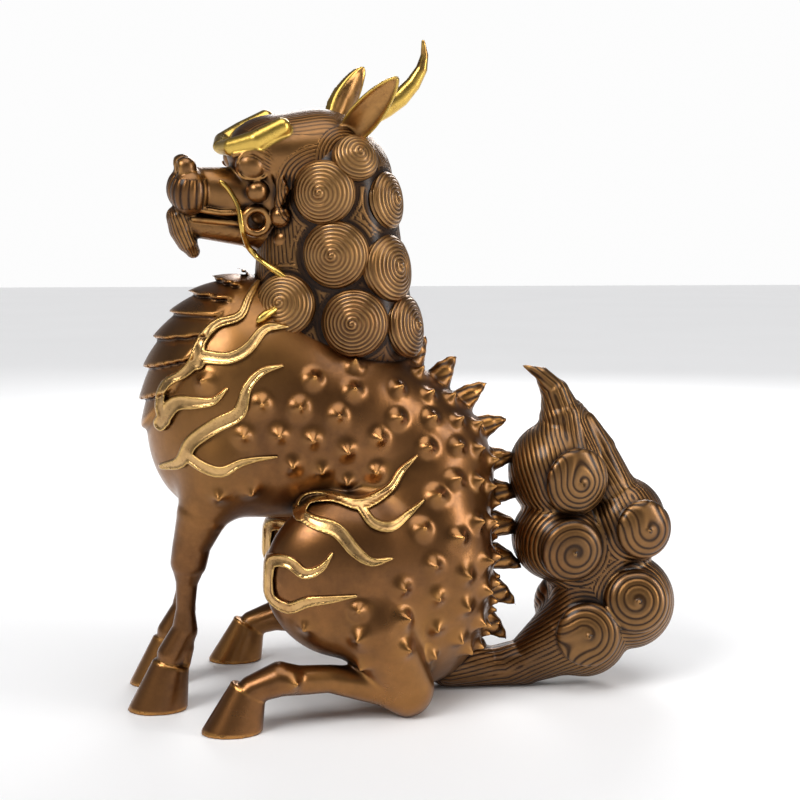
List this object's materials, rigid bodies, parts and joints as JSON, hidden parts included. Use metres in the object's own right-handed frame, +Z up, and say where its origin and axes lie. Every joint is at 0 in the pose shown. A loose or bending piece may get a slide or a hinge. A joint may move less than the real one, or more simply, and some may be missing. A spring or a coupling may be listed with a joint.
{
  "type": "xiezhi statue",
  "caption": "Cast brass figure of a horned, hooved guardian beast sitting on its haunches, with a scaly chest, a thorny back and a tall tail of coiled locks.",
  "frame": {"origin": "on the ground, under the middle of the figure's bounding box", "axes": "the beast faces -X with its tail towards +X; +Z is up; its head turns a little towards -Y"},
  "size_m": [0.261, 0.1265, 0.3001],
  "materials": {
    "brass": "brown patina, rubbed to gold on the high points"
  },
  "bodies": {
    "root": {"xiezhi": "brass"}
  },
  "joints": []
}
